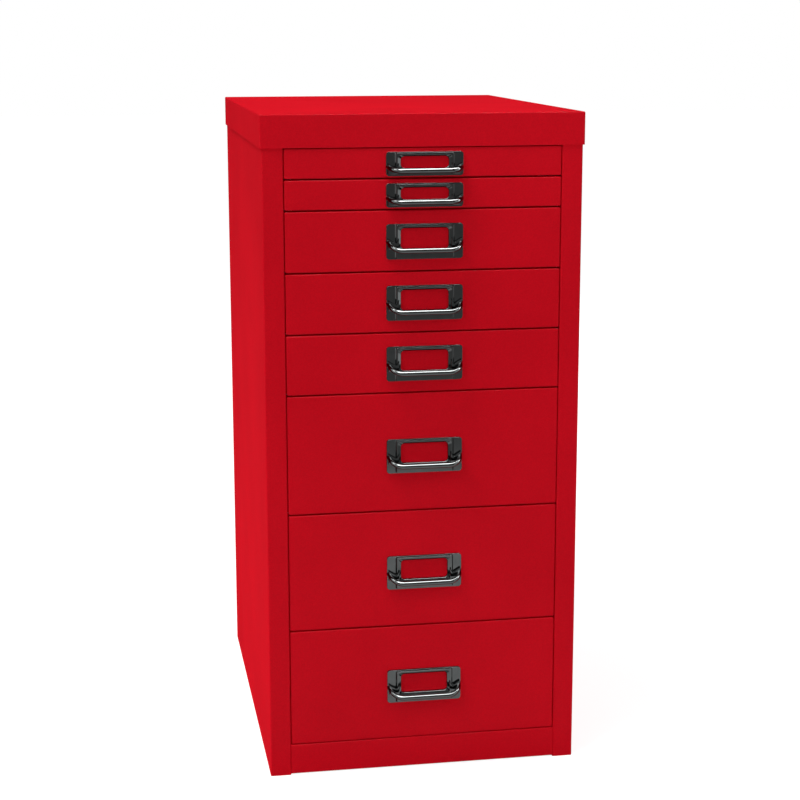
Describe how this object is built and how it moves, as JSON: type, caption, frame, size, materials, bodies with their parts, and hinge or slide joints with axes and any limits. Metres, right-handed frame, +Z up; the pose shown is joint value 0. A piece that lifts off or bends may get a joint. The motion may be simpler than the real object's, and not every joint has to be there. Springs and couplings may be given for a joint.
{
  "type": "multi-drawer cabinet",
  "caption": "Narrow free-standing steel cabinet with stacked shallow, medium and deep drawers on channel runners, each with a cast label-frame pull.",
  "frame": {"origin": "on the floor, under the middle of the whole footprint with the handles included", "axes": "+Z up, the drawers open towards -Y, +X to the right as seen from the front"},
  "size_m": [0.282, 0.398, 0.59],
  "materials": {
    "case_paint": "red powder coat, low gloss, fine texture",
    "drawer_paint": "red powder coat, low gloss, fine texture",
    "handle_chrome": "polished dark chrome on die casting",
    "runner_zinc": "zinc-plated sheet steel",
    "screw_steel": "zinc-plated screw",
    "glide_nylon": "natural nylon",
    "buffer_rubber": "black rubber"
  },
  "bodies": {
    "carcass": {"top_cap": "case_paint", "left_side": "case_paint", "right_side": "case_paint", "back_panel": "case_paint", "base_panel": "case_paint", "bottom_rail": "case_paint", "runner_post_front_left": "runner_zinc", "runner_post_front_right": "runner_zinc", "runner_post_rear_left": "runner_zinc", "runner_post_rear_right": "runner_zinc", "runner_left_1": "runner_zinc", "runner_left_2": "runner_zinc", "runner_left_3": "runner_zinc", "runner_left_4": "runner_zinc", "runner_left_5": "runner_zinc", "runner_left_6": "runner_zinc", "runner_left_7": "runner_zinc", "runner_left_8": "runner_zinc", "runner_right_1": "runner_zinc", "runner_right_2": "runner_zinc", "runner_right_3": "runner_zinc", "runner_right_4": "runner_zinc", "runner_right_5": "runner_zinc", "runner_right_6": "runner_zinc", "runner_right_7": "runner_zinc", "runner_right_8": "runner_zinc", "runner_glides": "glide_nylon", "closing_buffers": "buffer_rubber"},
    "drawer_1": {"drawer_front_1": "drawer_paint", "drawer_tray_1": "drawer_paint", "handle_1": "handle_chrome", "handle_screws_1": "screw_steel"},
    "drawer_2": {"drawer_front_2": "drawer_paint", "drawer_tray_2": "drawer_paint", "handle_2": "handle_chrome", "handle_screws_2": "screw_steel"},
    "drawer_3": {"drawer_front_3": "drawer_paint", "drawer_tray_3": "drawer_paint", "handle_3": "handle_chrome", "handle_screws_3": "screw_steel"},
    "drawer_4": {"drawer_front_4": "drawer_paint", "drawer_tray_4": "drawer_paint", "handle_4": "handle_chrome", "handle_screws_4": "screw_steel"},
    "drawer_5": {"drawer_front_5": "drawer_paint", "drawer_tray_5": "drawer_paint", "handle_5": "handle_chrome", "handle_screws_5": "screw_steel"},
    "drawer_6": {"drawer_front_6": "drawer_paint", "drawer_tray_6": "drawer_paint", "handle_6": "handle_chrome", "handle_screws_6": "screw_steel"},
    "drawer_7": {"drawer_front_7": "drawer_paint", "drawer_tray_7": "drawer_paint", "handle_7": "handle_chrome", "handle_screws_7": "screw_steel"},
    "drawer_8": {"drawer_front_8": "drawer_paint", "drawer_tray_8": "drawer_paint", "handle_8": "handle_chrome", "handle_screws_8": "screw_steel"}
  },
  "joints": [
    {"name": "drawer_1_slide", "type": "slide", "parent": "carcass", "child": "drawer_1", "axis": [0, -1, 0], "range_m": [0, 0.2966]},
    {"name": "drawer_2_slide", "type": "slide", "parent": "carcass", "child": "drawer_2", "axis": [0, -1, 0], "range_m": [0, 0.2966]},
    {"name": "drawer_3_slide", "type": "slide", "parent": "carcass", "child": "drawer_3", "axis": [0, -1, 0], "range_m": [0, 0.2966]},
    {"name": "drawer_4_slide", "type": "slide", "parent": "carcass", "child": "drawer_4", "axis": [0, -1, 0], "range_m": [0, 0.2966]},
    {"name": "drawer_5_slide", "type": "slide", "parent": "carcass", "child": "drawer_5", "axis": [0, -1, 0], "range_m": [0, 0.2966]},
    {"name": "drawer_6_slide", "type": "slide", "parent": "carcass", "child": "drawer_6", "axis": [0, -1, 0], "range_m": [0, 0.2966]},
    {"name": "drawer_7_slide", "type": "slide", "parent": "carcass", "child": "drawer_7", "axis": [0, -1, 0], "range_m": [0, 0.2966]},
    {"name": "drawer_8_slide", "type": "slide", "parent": "carcass", "child": "drawer_8", "axis": [0, -1, 0], "range_m": [0, 0.2966]}
  ]
}
